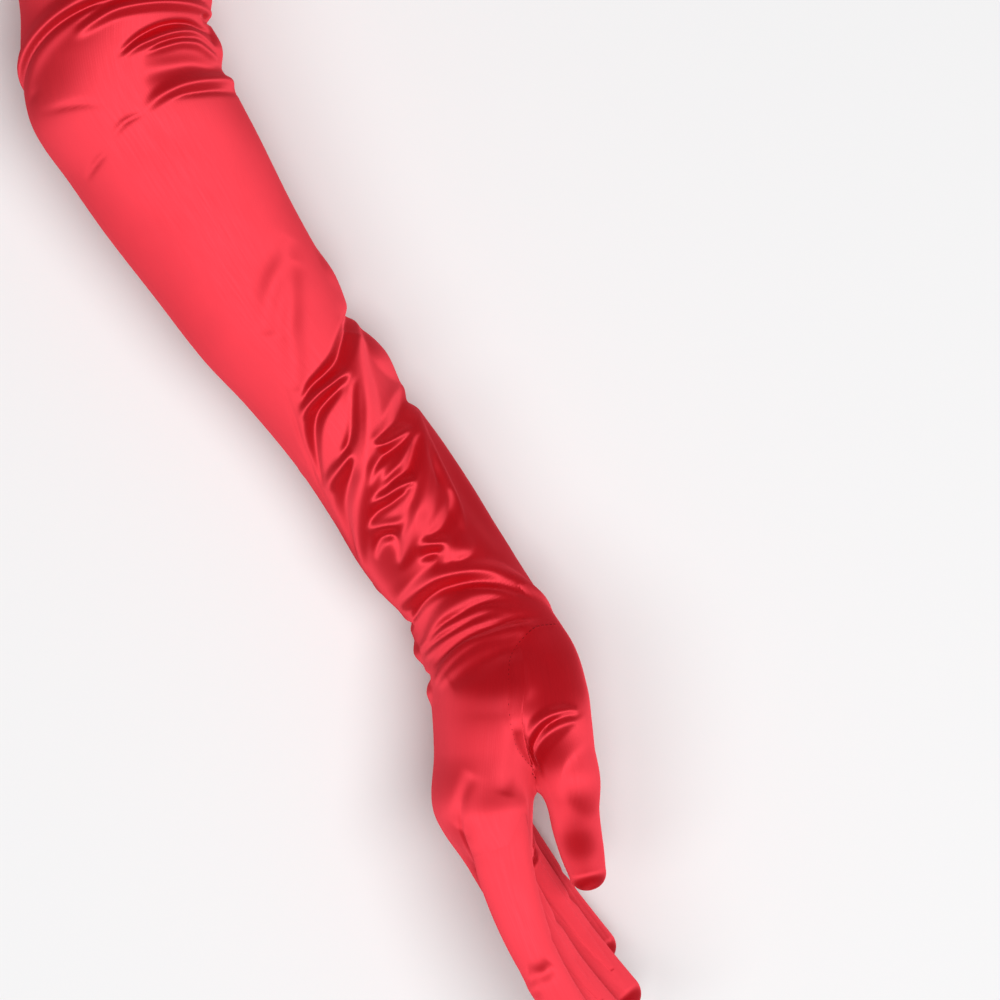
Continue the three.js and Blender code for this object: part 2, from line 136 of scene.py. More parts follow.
FOREARM_FOLDS = [
    ("dip", 5.0, 0.8, [(204, 42), (211, 52), (216, 69), (222, 82), (232, 96)]),
    ("dip", 4.0, 0.8, [(214, 46), (220, 58), (228, 70), (236, 82), (246, 93), (256, 106)]),
    ("ridge", 8.0, 1.4, [(226, -60), (225, -15), (224, 22)]),
    ("crease", 3.6, 3.0, [(238, -50), (241, -15), (243, 6), (246, 28), (251, 48), (255, 63), (257, 80),
                          (258, 96), (262, 113)]),
    ("dip", 6.0, 1.8, [(243, -40), (244, -5), (247, 18), (250, 30)]),
    ("ridge", 2.6, 1.9, [(266, 120), (263, 108), (262, 96), (261, 81), (261, 68), (262, 54)]),
    ("ridge", 4.4, 2.6, [(244, -20), (247, 8), (252, 32), (258, 46), (266, 57), (276, 70), (282, 79),
                         (289, 89), (296, 98), (301, 109), (307, 122), (313, 133), (320, 148),
                         (330, 168)]),
    ("crease", 0.9, 0.6, [(262, 55), (272, 68), (281, 81), (290, 93)]),
    ("crease", 0.9, 0.8, [(244, 106), (255, 117), (264, 125), (272, 134), (280, 141), (288, 150),
                          (296, 155), (306, 164)]),
    ("crease", 3.2, 2.5, [(262, 68), (264, 80), (265, 91), (267, 104), (271, 116), (277, 127), (284, 137),
                          (292, 147)]),
    ("crease", 1.9, 1.4, [(264, 60), (267, 67), (273, 77), (279, 87), (283, 96), (286, 108), (288, 122)]),
    ("ridge", 2.4, 1.5, [(295, 144), (292, 134), (290, 118), (288, 105), (289, 94)]),
    ("crease", 4.4, 2.0, [(290, 102), (294, 113), (298, 127), (303, 140), (312, 152), (324, 164)]),
    ("ridge", 8.5, 2.4, [(262, -60), (262, -20), (263, 10), (264, 30)]),
    ("crease", 5.6, 3.1, [(277, -45), (281, -15), (283, 12), (285, 32), (288, 52), (289, 68), (288, 82)]),
    ("ridge", 2.5, 2.2, [(290, 90), (290, 82), (292, 72), (292, 60), (292, 48), (293, 34)]),
    ("crease", 2.6, 1.9, [(294, 46), (295, 59), (295, 75), (297, 92), (302, 104)]),
    ("ridge", 1.7, 1.1, [(292, 36), (294, 44), (297, 54), (301, 70), (303, 86), (304, 96)]),
    ("crease", 3.0, 2.4, [(296, 40), (299, 49), (303, 60), (306, 71), (306, 84), (307, 101)]),
    ("ridge", 2.4, 1.8, [(309, 122), (308, 112), (309, 98), (308, 86), (309, 75), (312, 72), (315, 84),
                         (319, 94)]),
    ("crease", 2.4, 1.7, [(312, 82), (312, 96), (312, 112), (314, 121)]),
    ("ridge", 2.1, 1.2, [(315, 132), (316, 124), (318, 114), (320, 102), (320, 90)]),
    ("crease", 2.7, 1.7, [(327, 138), (323, 130), (321, 120), (323, 110), (328, 112), (334, 120)]),
    ("ridge", 3.8, 2.6, [(276, -25), (280, 4), (285, 18), (291, 30), (298, 40), (305, 50), (312, 61),
                         (318, 74), (322, 87), (328, 97), (332, 109), (335, 124)]),
    ("crease", 0.9, 0.7, [(296, 36), (304, 45), (312, 56), (318, 67)]),
    ("crease", 1.7, 1.3, [(309, 64), (313, 74), (318, 85), (322, 94), (326, 104)]),
    ("ridge", 2.1, 1.5, [(288, 20), (292, 29), (301, 35), (310, 39), (320, 43), (328, 48), (334, 53),
                         (339, 60)]),
    ("crease", 2.4, 1.4, [(300, 41), (307, 46), (313, 49), (318, 53)]),
    ("crease", 3.6, 2.1, [(320, 46), (326, 52), (330, 64), (332, 78), (331, 90)]),
    ("ridge", 2.4, 1.5, [(331, 106), (332, 96), (334, 86), (337, 77), (341, 82), (344, 93)]),
    ("ridge", 5.0, 1.8, [(338, 74), (342, 68), (346, 65)]),
    ("crease", 2.6, 1.7, [(337, 104), (337, 94), (339, 87), (344, 98)]),
    ("dip", 6.5, 1.6, [(304, 22), (318, 28), (334, 30), (350, 24)]),
    ("ridge", 4.4, 2.6, [(340, 182), (326, 225), (308, 270), (290, 305)]),
    ("ridge", 4.2, 2.4, [(306, 195), (288, 245), (266, 300), (250, 335)]),
    ("dip", 3.4, 2.0, [(322, 205), (304, 255), (286, 310)]),
    ("ridge", 3.6, 2.0, [(330, 250), (318, 285), (306, 325), (296, 350)]),
    ("ridge", 3.4, 1.8, [(286, 185), (272, 215), (258, 250)]),
    ("dip", 4.0, 1.2, [(240, 200), (226, 250), (214, 300)]),
]
WRIST_FOLDS = [
    ("ridge", 3.4, 2.3, [(351, 166), (349, 150), (348, 132), (347, 114), (347, 98), (350, 79), (354, 60),
                         (358, 46), (363, 34), (369, 18), (376, 0)]),
    ("crease", 2.9, 2.0, [(359, 155), (356, 143), (352, 124), (351, 104), (353, 86), (357, 66), (362, 50),
                          (367, 38)]),
    ("ridge", 3.2, 1.5, [(374, 152), (370, 138), (363, 118), (360, 100), (359, 83), (361, 68),
                         (364, 54)]),
    ("crease", 1.6, 1.1, [(374, 146), (371, 135), (366, 118), (364, 98), (363, 82), (364, 66),
                          (368, 50)]),
    ("ridge", 2.1, 1.2, [(378, 168), (374, 154), (370, 129), (367, 107), (365, 90), (366, 75),
                         (369, 60)]),
    ("crease", 1.2, 0.8, [(377, 146), (373, 130), (370, 110), (368, 92), (368, 78)]),
    ("ridge", 1.9, 1.0, [(381, 160), (378, 142), (374, 121), (371, 99), (370, 80), (371, 64)]),
    ("crease", 2.6, 1.7, [(385, 146), (381, 132), (376, 115), (373, 98), (372, 80), (372, 58), (375, 28),
                          (378, 5)]),
    ("ridge", 2.5, 1.7, [(393, 152), (389, 138), (383, 121), (378, 102), (376, 83), (375, 64), (376, 44),
                         (378, 22), (382, 0)]),
    ("crease", 1.0, 0.6, [(390, 134), (383, 112), (378, 92), (377, 74)]),
    ("ridge", 2.3, 1.1, [(395, 146), (390, 129), (384, 110), (380, 91), (379, 72), (379, 52)]),
    ("dip", 4.0, 1.3, [(393, 125), (387, 103), (383, 85), (382, 66), (383, 48)]),
    ("ridge", 3.4, 0.8, [(390, 92), (386, 80), (385, 66), (384, 50)]),
    ("crease", 3.2, 2.3, [(352, 230), (357, 196), (360, 172), (360, 154)]),
    ("ridge", 5.0, 2.4, [(374, 240), (376, 206), (377, 182), (375, 162)]),
    ("crease", 2.8, 1.8, [(388, 230), (390, 198), (390, 172), (389, 158)]),
    ("ridge", 3.4, 1.6, [(397, 230), (398, 200), (397, 174), (396, 160)]),
    ("ridge", 3.8, 2.2, [(345, 186), (342, 230), (344, 280), (353, 325)]),
    ("ridge", 3.8, 2.0, [(366, 250), (366, 285), (372, 322)]),
    ("dip", 2.4, 1.6, [(360, 250), (358, 285), (363, 330)]),
    ("ridge", 3.4, 1.6, [(384, 240), (384, 270), (388, 300)]),
]
HAND_FOLDS = [
    ("dip", 5.0, 0.6, [(412, 60), (424, 62), (438, 70)]),
    ("dip", 4.0, 0.8, [(428, 100), (440, 112), (448, 122)]),
    ("crease", 0.9, 1.3, [(438, 110), (446, 117), (453, 126), (460, 136), (467, 149), (475, 160)]),
    ("dip", 3.0, 1.4, [(398, 330), (408, 310), (414, 285)]),
    ("dip", 3.0, 1.2, [(440, 340), (436, 320), (434, 300)]),
]
THUMB_SEAM = ("crease", 1.0, 0.5, [(377, 5), (377, 31), (377, 50), (381, 66), (387, 73), (396, 75),
                                   (404, 73), (411, 68), (419, 57), (424, 45), (429, 29), (430, 10)])
ROUTE_STEPS = 5
CREST_SHARE = 0.7
CREASE_SHARE = 0.12
FOLD_MEETING = 0.22


def smooth_step(low, high, value):
    """0 up to low, 1 from high, and an even slope between."""
    t = np.clip((value - low) / (high - low), 0, 1)
    return t * t * (3 - 2 * t)


def spline_through(knots, values, at):
    """Values at the given places along a smooth curve through the knots."""
    knots = np.asarray(knots, float)
    values = np.asarray(values, float)
    slopes = np.gradient(values, knots)
    slopes[1:-1] = (values[2:] - values[:-2]) / (knots[2:] - knots[:-2])
    low = np.clip(np.searchsorted(knots, at, side="right") - 1, 0, len(knots) - 2)
    span = knots[low + 1] - knots[low]
    t = (at - knots[low]) / span
    change = values[low + 1] - values[low]
    leaving, arriving = slopes[low] * span, slopes[low + 1] * span
    return (values[low] + leaving * t + (3 * change - 2 * leaving - arriving) * t ** 2
            + (leaving + arriving - 2 * change) * t ** 3)


# A tube is a table of closely spaced sections square to a line, with a round tip if it has one.
FINE = 0.5


def tube_from(sections, tip=0.0):
    table = dict(zip(SECTION_COLUMNS, zip(*sections)))
    station = np.arange(table["station"][0], table["station"][-1] + FINE / 2, FINE)
    tube = {name: spline_through(table["station"], column, station) for name, column in table.items()}
    tube["heading"] = np.radians(tube["heading"])
    tube["tip"] = tip
    return tube


def tube_at(tube, station):
    """The section of a tube at any stations."""
    return {name: np.interp(station, tube["station"], tube[name]) for name in SECTION_COLUMNS[1:]}


def tube_surface(tube, station, angle, proud=0.0):
    """Points on the plain skin of a tube for a grid of stations and angles, in millimetres."""
    station, angle = np.broadcast_arrays(station, angle)
    held = np.minimum(station, tube["station"][-1])
    at = tube_at(tube, held)
    beyond = np.clip((station - held) / (tube["tip"] or 1), 0, 1)
    closing = np.sqrt(1 - beyond ** 2)
    cos, sin = np.cos(np.radians(angle)), np.sin(np.radians(angle))
    power = 2 / at["square"]
    across = np.sign(cos) * np.abs(cos) ** power * (at["half_width"] + proud) * closing
    up = np.sign(sin) * np.abs(sin) ** power * (at["half_depth"] + proud) * closing
    reach = beyond * (tube["tip"] + proud)
    turn_cos, turn_sin = np.cos(at["heading"]), np.sin(at["heading"])
    return np.stack([
        at["x"] - turn_sin * across + turn_cos * reach,
        at["y"] + turn_cos * across + turn_sin * reach,
        at["z"] + up,
    ], -1)


NEAR_STEP = 12


def nearest_station(tube, points):
    """The station whose section lies nearest to each point in plan, give or take a few millimetres."""
    every = slice(None, None, NEAR_STEP)
    flat = points.reshape(-1, 3)
    away = (flat[:, :1] - tube["x"][None, every]) ** 2 + (flat[:, 1:2] - tube["y"][None, every]) ** 2
    return tube["station"][every][away.argmin(1)].reshape(points.shape[:-1])


def distance_to_tube(tube, points, near):
    """Distance from points to the plain skin of a tube, less than 0 inside it."""
    first, last = tube["station"][0], tube["station"][-1]
    station = near
    for _ in range(4):
        at = tube_at(tube, station)
        turn_cos, turn_sin = np.cos(at["heading"]), np.sin(at["heading"])
        dx, dy = points[..., 0] - at["x"], points[..., 1] - at["y"]
        along = dx * turn_cos + dy * turn_sin
        station = np.clip(station + along, first, last)
    at = tube_at(tube, station)
    turn_cos, turn_sin = np.cos(at["heading"]), np.sin(at["heading"])
    dx, dy = points[..., 0] - at["x"], points[..., 1] - at["y"]
    along = dx * turn_cos + dy * turn_sin
    across = np.abs(dy * turn_cos - dx * turn_sin)
    up = np.abs(points[..., 2] - at["z"])
    beyond = np.where(station >= last - 1e-6, np.clip(along, 0, None), 0)
    before = np.where(station <= first + 1e-6, np.clip(-along, 0, None), 0)
    power = at["square"]
    size = ((across / at["half_width"]) ** power + (up / at["half_depth"]) ** power
            + (beyond / max(tube["tip"], 1)) ** power) ** (1 / power)
    length = np.sqrt(across ** 2 + up ** 2 + beyond ** 2)
    return length * (1 - 1 / np.clip(size, 0.05, None)) + before


PAST_END = 12.0


def place_on_tube(tube, points):
    """The station and angle of the skin point of a tube nearest to each point."""
    station = nearest_station(tube, points)
    for _ in range(5):
        at = tube_at(tube, station)
        turn_cos, turn_sin = np.cos(at["heading"]), np.sin(at["heading"])
        along = (points[..., 0] - at["x"]) * turn_cos + (points[..., 1] - at["y"]) * turn_sin
        station = np.clip(station + along, tube["station"][0], tube["station"][-1] + PAST_END)
    across = (points[..., 1] - at["y"]) * turn_cos - (points[..., 0] - at["x"]) * turn_sin
    across, up = across / at["half_width"], (points[..., 2] - at["z"]) / at["half_depth"]
    power = at["square"] / 2
    return station, np.degrees(np.arctan2(np.sign(up) * np.abs(up) ** power,
                                          np.sign(across) * np.abs(across) ** power)) % 360


def smooth_least(a, b, reach):
    """The lesser of two distances, with the corner where they meet rounded over the reach."""
    shared = np.clip(reach - np.abs(a - b), 0, None)
    return np.minimum(a, b) - shared ** 2 / (4 * reach)


# The hand's skin runs over onto the thumb and the fingers, so their sizes stand here. The thumb
# is a tapered tube, set into the hand. Its top climbs from the wrist, then levels.
THUMB_SECTIONS = [
    (-28, 348, -51.5, -3, -6, 9, 9, 2),
    (-14, 361.5, -49.3, 0.5, -18, 12.4, 11.5, 2),
    (0, 377, -48.8, 8, -30, 13.6, 14, 2),
    (14, 391.5, -55, 14, -34, 15.6, 15.8, 2),
    (26, 402.4, -61.8, 16.6, -31, 16.6, 16.4, 2),
    (45, 420.5, -67.2, 15.6, -27, 12.4, 13.4, 2),
    (58, 432.6, -72, 16, -27, 10.2, 12, 2),
    (70, 443.1, -77, 15.4, -25, 9.4, 10.9, 2),
    (80, 452.4, -80.8, 14.2, -23, 8.5, 9.4, 2),
    (87.6, 459.5, -83.5, 14, -22, 7.3, 8.3, 2.1),
]
THUMB_TIP = 7.0

# Each finger's centre line runs from its root through its bend to its tip.
FINGERS = {
    "index": {"root": (420, -99.6, 26.4), "bend": (457, -114.3, 27.2), "tip": (512, -120.3, 24.5),
              "root_width": 12.6, "root_depth": 9.7, "tip_radius": 8.3},
    "middle": {"root": (420, -107.5, 7.6), "bend": (460, -112.4, 7.5), "tip": (522, -109, 6.6),
               "root_width": 11.6, "root_depth": 9.6, "tip_radius": 8.3},
    "ring": {"root": (419, -104, -12), "bend": (456, -103.6, -11.9), "tip": (515, -99.6, -11),
             "root_width": 11.2, "root_depth": 9.1, "tip_radius": 8.0},
    "little": {"root": (416, -100, -30.3), "bend": (447, -99.6, -30.1), "tip": (495, -97, -27.6),
               "root_width": 10.2, "root_depth": 8.4, "tip_radius": 7.3},
}
WIDTH_SETTLES = 1.6
LEAD_IN = 18.0
LEAD_IN_SHARE = 0.6


def finger_tube(finger):
    """A finger's tube, with its sections in arm order and its stations measured in plan from
    the root. Behind the root it narrows and dies away inside the hand."""
    points = np.array([finger["root"], finger["bend"], finger["tip"]], float)
    bend_share = np.linalg.norm(points[1] - points[0]) / (
        np.linalg.norm(points[1] - points[0]) + np.linalg.norm(points[2] - points[1]))
    t = np.linspace(0, 1, 241)
    line = np.stack([
        points[0, i] * (t - bend_share) * (t - 1) / bend_share
        + points[1, i] * t * (t - 1) / (bend_share * (bend_share - 1))
        + points[2, i] * t * (t - bend_share) / (1 - bend_share) for i in range(3)])
    run = np.concatenate([[0], np.cumsum(np.hypot(np.diff(line[0]), np.diff(line[1])))])
    station = np.arange(-LEAD_IN, run[-1] - finger["tip_radius"], FINE)
    share = np.interp(station, run, t)
    x, y, z = (np.interp(station, run, row) for row in line)
    before = np.minimum(station, 0)
    leaving = (line[:, 3] - line[:, 0]) / run[3]
    x, y, z = x + before * leaving[0], y + before * leaving[1], z + before * leaving[2]
    tip, settle = finger["tip_radius"], np.minimum(1, WIDTH_SETTLES * share)
    lead = 1 - (1 - LEAD_IN_SHARE) * smooth_step(0, -LEAD_IN, station)
    return {
        "station": station, "x": x, "y": y, "z": z, "tip": tip,
        "heading": np.arctan2(np.gradient(y, station), np.gradient(x, station)),
        "half_width": (finger["root_width"] + (tip - finger["root_width"]) * settle) * lead,
        "half_depth": (finger["root_depth"] + (tip - finger["root_depth"]) * share) * lead,
        "square": np.full(len(station), 2.0),
    }


HAND_BLUNTNESS = 6.0
arm = tube_from(ARM_SECTIONS, HAND_BLUNTNESS)
thumb_tube = tube_from(THUMB_SECTIONS, THUMB_TIP)
finger_tubes = {name: finger_tube(finger) for name, finger in FINGERS.items()}
all_tubes = {"arm": arm, "thumb": thumb_tube, **finger_tubes}
FINGER_MEETING = 1.6
KNUCKLE_MEETING = 4.0
THUMB_MEETING = 9.0
PROBE = 0.05
FURTHEST_MOVE = 5.0


def nearest_stations(points):
    return {name: nearest_station(tube, points) for name, tube in all_tubes.items()}


def distances(points, near):
    """Distances from points to each tube's plain skin."""
    return {name: distance_to_tube(tube, points, near[name]) for name, tube in all_tubes.items()}


def finger_distance(away):
    """Distance to the skin of the four fingers together, from the distances to each."""
    front = smooth_least(away["index"], away["middle"], FINGER_MEETING)
    back = smooth_least(away["ring"], away["little"], FINGER_MEETING)
    return smooth_least(front, back, FINGER_MEETING)


def skin_distance(points, near):
    """Distance to the skin that the hand, fingers and thumb share, with soft meetings."""
    away = distances(points, near)
    hand = smooth_least(away["arm"], finger_distance(away), KNUCKLE_MEETING)
    return smooth_least(hand, away["thumb"], THUMB_MEETING)


def onto_skin(points):
    """The points moved to the shared skin, and the way out of it at each of them."""
    near = nearest_stations(points)
    for _ in range(4):
        here = skin_distance(points, near)
        slope = np.stack([(skin_distance(points + np.eye(3)[i] * PROBE, near) - here) / PROBE
                          for i in range(3)], -1)
        steep = np.maximum((slope ** 2).sum(-1, keepdims=True), 0.2)
        points = points - np.clip(here, -FURTHEST_MOVE, FURTHEST_MOVE)[..., None] * slope / steep
    return points, slope / np.linalg.norm(slope, axis=-1, keepdims=True)


def fold_relief(station, angle, radius, folds):
    """Height of the folds over the plain surface, in millimetres. A ridge is a round crest with
    straight flanks of the given width, a crease the same upside down with a sharp bottom, and a
    dip is soft. Where two ridges meet they leave a sharp line."""
    station, angle, radius = np.broadcast_arrays(station, angle, radius)
    raised = np.ones(station.shape)
    cut = np.ones(station.shape)
    sunk = np.zeros(station.shape)
    for kind, width, height, route in folds:
        route = np.array(route, float)
        knots = np.arange(len(route))
        fine = np.linspace(0, len(route) - 1, ROUTE_STEPS * (len(route) - 1) + 1)
        if len(route) > 2:
            line = np.stack([spline_through(knots, route[:, i], fine) for i in (0, 1)], 1)
        else:
            line = np.stack([np.interp(fine, knots, route[:, i]) for i in (0, 1)], 1)
        reach = 3 * width
        near = (station > line[:, 0].min() - reach) & (station < line[:, 0].max() + reach)
        here_station, here_angle = station[near], angle[near]
        per_degree = math.radians(1) * radius[near]
        best = np.full(here_station.shape, 1e9)
        place = np.zeros(here_station.shape)
        for i in range(len(line) - 1):
            start, step = line[i], line[i + 1] - line[i]
            along = here_station - start[0]
            across = ((here_angle - start[1] + 180) % 360 - 180) * per_degree
            step_across = step[1] * per_degree
            t = np.clip((along * step[0] + across * step_across) / (step[0] ** 2 + step_across ** 2), 0, 1)
            away = np.hypot(along - t * step[0], across - t * step_across)
            closer = away < best
            best = np.where(closer, away, best)
            place = np.where(closer, (i + t) / (len(line) - 1), place)
        strength = np.sqrt(np.clip(4 * place * (1 - place), 0, 1)) * 0.8 + 0.2 * np.sin(math.pi * place)
        if kind == "dip":
            sunk[near] += height * strength * np.exp(-(best / width) ** 2)
            continue
        round_part = (CREST_SHARE if kind == "ridge" else CREASE_SHARE) * width
        flank = (np.sqrt(best ** 2 + round_part ** 2) - round_part) / width
        stacked = raised if kind == "ridge" else cut
        stacked[near] += np.exp((height * (strength - flank) - 0.5 * (1 - strength)) / FOLD_MEETING)
    return FOLD_MEETING * (np.log(raised) - np.log(cut)) - sunk


def eased_rows(grid, rounds):
    """The grid with each point drawn towards the mean of its neighbours, as cloth rounds a crease."""
    for _ in range(rounds):
        beside = (np.roll(grid, 1, 1) + np.roll(grid, -1, 1)) / 2
        inside = grid.copy()
        inside[1:-1] = 0.5 * grid[1:-1] + 0.25 * beside[1:-1] + 0.125 * (grid[2:] + grid[:-2])
        grid = inside
    return grid


def grid_faces(rows, columns, first=0, flip=False):
    """Quads between neighbouring rows of a grid whose columns go all the way round."""
    i, k = np.meshgrid(np.arange(rows - 1), np.arange(columns), indexing="ij")
    beside = (k + 1) % columns
    quads = np.stack([i * columns + k, i * columns + beside, (i + 1) * columns + beside,
                      (i + 1) * columns + k], -1).reshape(-1, 4) + first
    return quads[:, ::-1] if flip else quads


def cloth_object(name, points, faces, cloth_uv, material, girth):
    """A smooth-shaded mesh from points in millimetres; cloth_uv holds the place on the cloth,
    whose first and last threads meet after one girth."""
    used = np.unique(np.concatenate([np.ravel(face) for face in faces]))
    renumber = np.zeros(len(points), np.int64)
    renumber[used] = np.arange(len(used))
    mesh = bpy.data.meshes.new(name)
    mesh.from_pydata((np.asarray(points)[used] * MM).tolist(), [],
                     [renumber[np.asarray(face)].tolist() for face in faces])
    layer = mesh.uv_layers.new(name="cloth")
    corners = np.zeros(len(mesh.loops), np.int32)
    mesh.loops.foreach_get("vertex_index", corners)
    starts = np.zeros(len(mesh.polygons), np.int32)
    mesh.polygons.foreach_get("loop_start", starts)
    places = np.array(cloth_uv, np.float32)[used][corners]
    widest = np.repeat(np.maximum.reduceat(places[:, 0], starts), np.diff(np.append(starts, len(corners))))
    places[places[:, 0] < widest - girth / 2, 0] += girth
    layer.data.foreach_set("uv", places.ravel())
    mesh.polygons.foreach_set("use_smooth", [True] * len(mesh.polygons))
    mesh.materials.append(material)
    mesh.update()
    piece = bpy.data.objects.new(name, mesh)
    bpy.context.scene.collection.objects.link(piece)
    return piece


# The dye's lightest and deepest red, the colours of the satin's shine and of its fuzz, how
# strong and how one-way the shine is, and how high its ribs stand, in millimetres.
SATIN_BRIGHT = (0.60, 0.006, 0.012, 1)
SATIN_DEEP = (0.50, 0.003, 0.007, 1)
SHINE_COLOUR = (0.86, 0.082, 0.115, 1)
FUZZ_COLOUR = (1, 0.13, 0.17, 1)
SHINE_DENSITY = 3.0
SHINE_ACROSS = 0.95
RIB_HEIGHT = 0.016


def satin(name, roughness=0.58):
    """Stretch satin: long threads lie along the arm, so the shine spreads widely round the arm
    and narrowly along it, over fine lengthwise ribs and a faintly uneven dye."""
    material = bpy.data.materials.new(name)
    material.use_nodes = True
    nodes, links = material.node_tree.nodes, material.node_tree.links
    shader = nodes["Principled BSDF"]
    shader.inputs["IOR"].default_value = SHINE_DENSITY
    shader.inputs["Specular IOR Level"].default_value = 1.0
    shader.inputs["Specular Tint"].default_value = SHINE_COLOUR
    shader.inputs["Anisotropic"].default_value = SHINE_ACROSS
    shader.inputs["Sheen Weight"].default_value = 0.3
    shader.inputs["Sheen Roughness"].default_value = 0.4
    shader.inputs["Sheen Tint"].default_value = FUZZ_COLOUR
    threads_run = nodes.new("ShaderNodeTangent")
    threads_run.direction_type = "UV_MAP"
    threads_run.uv_map = "cloth"
    links.new(threads_run.outputs["Tangent"], shader.inputs["Tangent"])
    place = nodes.new("ShaderNodeUVMap")
    place.uv_map = "cloth"
    stretch = nodes.new("ShaderNodeMapping")
    stretch.inputs["Scale"].default_value = (1.0, 0.06, 1.0)
    links.new(place.outputs["UV"], stretch.inputs["Vector"])
    streaks = nodes.new("ShaderNodeTexNoise")
    streaks.inputs["Scale"].default_value = 1.1
    streaks.inputs["Detail"].default_value = 3
    links.new(stretch.outputs["Vector"], streaks.inputs["Vector"])
    clouds = nodes.new("ShaderNodeTexNoise")
    clouds.inputs["Scale"].default_value = 0.045
    clouds.inputs["Detail"].default_value = 2
    links.new(place.outputs["UV"], clouds.inputs["Vector"])
    both = nodes.new("ShaderNodeMath")
    both.operation = "MULTIPLY_ADD"
    both.inputs[1].default_value = 0.45
    links.new(streaks.outputs["Fac"], both.inputs[0])
    links.new(clouds.outputs["Fac"], both.inputs[2])
    dye = nodes.new("ShaderNodeValToRGB")
    dye.color_ramp.elements[0].position = 0.45
    dye.color_ramp.elements[0].color = SATIN_DEEP
    dye.color_ramp.elements[1].position = 0.95
    dye.color_ramp.elements[1].color = SATIN_BRIGHT
    links.new(both.outputs[0], dye.inputs["Fac"])
    links.new(dye.outputs["Color"], shader.inputs["Base Color"])
    polish = nodes.new("ShaderNodeMapRange")
    polish.inputs["To Min"].default_value = roughness - 0.05
    polish.inputs["To Max"].default_value = roughness + 0.05
    links.new(streaks.outputs["Fac"], polish.inputs["Value"])
    links.new(polish.outputs["Result"], shader.inputs["Roughness"])
    ribs = nodes.new("ShaderNodeTexWave")
    ribs.bands_direction = "X"
    ribs.inputs["Scale"].default_value = 0.38
    ribs.inputs["Distortion"].default_value = 1.2
    ribs.inputs["Detail"].default_value = 2
    ribs.inputs["Detail Scale"].default_value = 0.5
    links.new(place.outputs["UV"], ribs.inputs["Vector"])
    threads = nodes.new("ShaderNodeTexNoise")
    threads.inputs["Scale"].default_value = 2.6
    threads.inputs["Detail"].default_value = 2
    links.new(place.outputs["UV"], threads.inputs["Vector"])
    face = nodes.new("ShaderNodeMath")
    face.operation = "MULTIPLY_ADD"
    face.inputs[1].default_value = 0.8
    links.new(threads.outputs["Fac"], face.inputs[0])
    links.new(ribs.outputs["Fac"], face.inputs[2])
    relief = nodes.new("ShaderNodeBump")
    relief.inputs["Strength"].default_value = 1.0
    relief.inputs["Distance"].default_value = RIB_HEIGHT * MM
    links.new(face.outputs[0], relief.inputs["Height"])
    links.new(relief.outputs["Normal"], shader.inputs["Normal"])
    return material


# The cloth's thickness, the points round the sleeve outside and inside, and where along it the
# inner wall is set back, the hem is sewn, the hand is closed and the thumb's skin is shared.
CLOTH = 0.8
ROUND = 190
INSIDE_ROUND = 38
INSIDE_STEP = 9.0
INSIDE_SHORT = 14.0
SET_BACK = 4.6
SET_BACK_FROM = 70.0
SET_BACK_RUN = 16.0
HEM_DEPTH = 14.0
HAND_END = 466.0
CAP_ROWS = 8
CAP_RUN = (1, 10)
CAP_DROP = 0.06
SHARED_FROM = 340.0
SHARED_RUN = 8.0
ARM_FOLDS = ELBOW_FOLDS + PRESSED_LINES + FOREARM_FOLDS + WRIST_FOLDS + HAND_FOLDS + [THUMB_SEAM]
STRETCHES = [(HEM_DEPTH, 84, 2.6), (84, 150, 1.0), (150, 204, 2.2), (204, 400, 0.9), (400, HAND_END, 1.0)]
# Where two pieces meet, the lower skin is tucked in a little and its cut edge dives under the
# other. Depths inside the thumb or a finger are below 0, and TAKE_OVER is a range of x.
TUCK = 0.22
TUCK_RUN = (0.5, -3.0)
EDGE_DIVE = 1.1
DIVE_AT_THUMB = (-0.5, -2.2)
CUT_INSIDE_THUMB = -2.4
CUT_INSIDE_FINGERS = -2.6
FINGERS_TAKE_OVER = (432, 440)


def spaced(stretches):
    """Stations over stretches given as (from, to, step)."""
    parts = [np.arange(low, high, step) for low, high, step in stretches]
    return np.concatenate(parts + [[stretches[-1][1]]])


def outward(grid):
    """The way out at each point of a grid whose columns go all the way round."""
    along = np.gradient(grid, axis=0)
    beside = np.roll(grid, -1, 1) - np.roll(grid, 1, 1)
    out = np.cross(beside, along)
    return out / np.maximum(np.linalg.norm(out, axis=-1, keepdims=True), 1e-9)


def cloth_places(station, angle, radius):
    """Places on the cloth: round the piece along x and along it in y, in millimetres."""
    station, angle = np.broadcast_arrays(station, angle)
    return np.stack([np.radians(angle) * radius, station], -1)


# Between these stations the turn of the hand twists the sleeve, so its threads run askew.
TWIST_STARTS = (268, 314)
TWIST_ENDS = (345, 405)
TWIST_SLOPE = 0.65
TWIST_MIDDLE = 70


def twisted_places(station, angle):
    """Places on the sleeve's cloth, turned where the sleeve is twisted."""
    along = np.arange(0, HAND_END + PAST_END)
    share = smooth_step(*TWIST_STARTS, along) * (1 - smooth_step(*TWIST_ENDS, along))
    places = cloth_places(station, angle, MEAN_RADIUS)
    turned = np.radians(angle + 0 * station - TWIST_MIDDLE)
    places[..., 0] -= np.interp(station, along, np.cumsum(TWIST_SLOPE * share))
    places[..., 1] += np.interp(station, along, TWIST_SLOPE * share) * MEAN_RADIUS * np.sin(turned)
    return places


def arm_relief(points):
    """Height of the arm's folds at points of the skin."""
    station, angle = place_on_tube(arm, points)
    at = tube_at(arm, np.minimum(station, HAND_END))
    return fold_relief(station, angle, (at["half_width"] + at["half_depth"]) / 2, ARM_FOLDS)


def ring_bridge(first_many, many, first_few, few):
    """Faces between a ring of many points and a ring of few, both all the way round."""
    ratio = many // few
    faces = []
    for k in range(few):
        fan = [first_many + (k * ratio + j) % many for j in range(ratio + 1)]
        faces.append([first_few + k, first_few + (k + 1) % few] + fan[::-1])
    return faces


